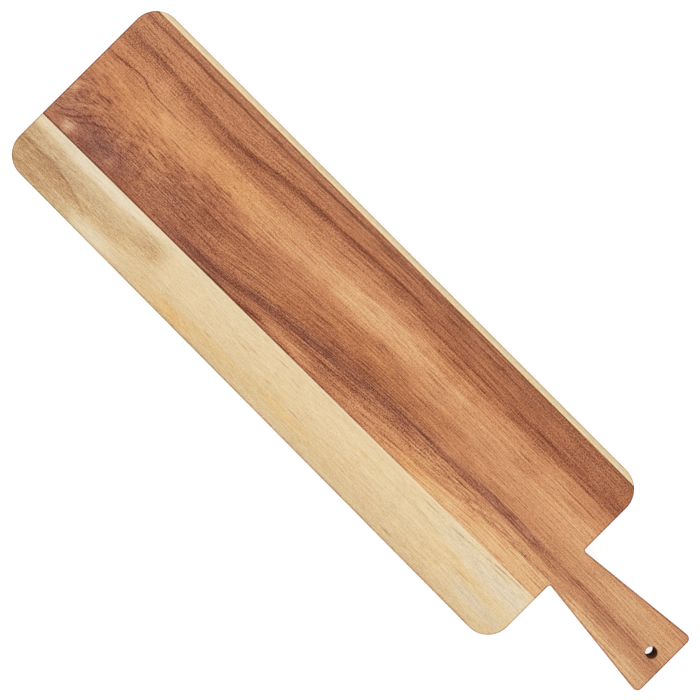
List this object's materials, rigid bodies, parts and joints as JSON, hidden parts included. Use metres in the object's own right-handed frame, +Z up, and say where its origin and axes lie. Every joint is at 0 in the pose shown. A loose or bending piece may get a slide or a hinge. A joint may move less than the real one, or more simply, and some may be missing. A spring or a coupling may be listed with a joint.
{
  "type": "serving board",
  "caption": "Long rectangular serving board, edge-glued from pale and brown wooden staves, with rounded corners and a flared handle pierced by a hanging hole.",
  "frame": {"origin": "on the surface that the board lies on, under the middle of its overall length and width", "axes": "+X along the board to the handle's end, +Y across it to the edge with the narrow pale stave, +Z up out of the serving face"},
  "size_m": [0.6, 0.16, 0.015],
  "materials": {
    "sapwood": "oiled, satin",
    "heartwood": "oiled, satin",
    "glue": "cured wood glue, matte"
  },
  "bodies": {
    "root": {"left_stave": "sapwood", "centre_stave": "heartwood", "right_stave": "sapwood", "left_glue_line": "glue", "right_glue_line": "glue"}
  },
  "joints": []
}
